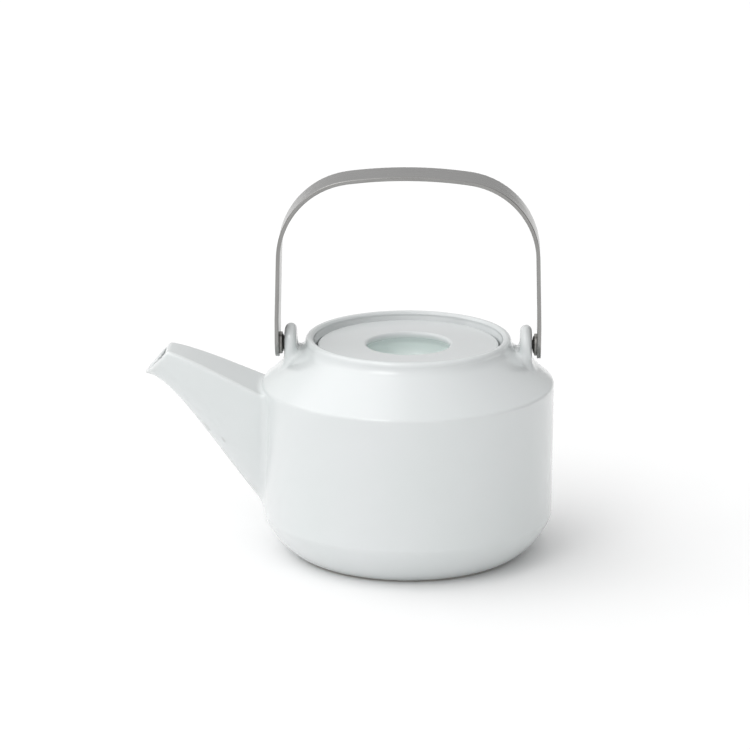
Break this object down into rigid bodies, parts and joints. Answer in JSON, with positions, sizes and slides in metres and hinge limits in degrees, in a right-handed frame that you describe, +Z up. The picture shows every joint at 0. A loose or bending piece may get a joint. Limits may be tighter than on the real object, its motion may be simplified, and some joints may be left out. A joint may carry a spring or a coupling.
{
  "type": "teapot infuser",
  "caption": "White glazed teapot with a sloped shoulder, faceted spout, inset lid with a round finger well, lift-out steel infuser and a flat steel bail handle on lug pivots.",
  "frame": {"origin": "the middle of the foot ring, on the surface that the teapot stands on", "axes": "+Z up along the axis of the pot, the spout points to -X, and the handle's pivot line runs along X"},
  "size_m": [0.211, 0.15, 0.1993],
  "materials": {
    "porcelain": "gloss",
    "infuser_steel": "satin",
    "handle_steel": "satin",
    "stud_steel": "polished"
  },
  "bodies": {
    "pot": {"pot_body": "porcelain"},
    "infuser": {"infuser_rim": "infuser_steel", "infuser_wall": "infuser_steel", "infuser_base": "infuser_steel", "infuser_hoop": "infuser_steel"},
    "lid": {"lid": "porcelain"},
    "handle": {"handle_strap": "handle_steel", "stud_left": "stud_steel", "stud_right": "stud_steel"}
  },
  "joints": [
    {"name": "handle_swing", "type": "hinge", "parent": "pot", "child": "handle", "pos_m": [0, 0, 0.1093], "axis": [1, 0, 0], "range_deg": [-90, 90]},
    {"name": "infuser_lift", "type": "slide", "parent": "pot", "child": "infuser", "axis": [0, 0, 1], "range_m": [0, 0.075]},
    {"name": "lid_lift", "type": "slide", "parent": "infuser", "child": "lid", "axis": [0, 0, 1], "range_m": [0, 0.055]}
  ]
}
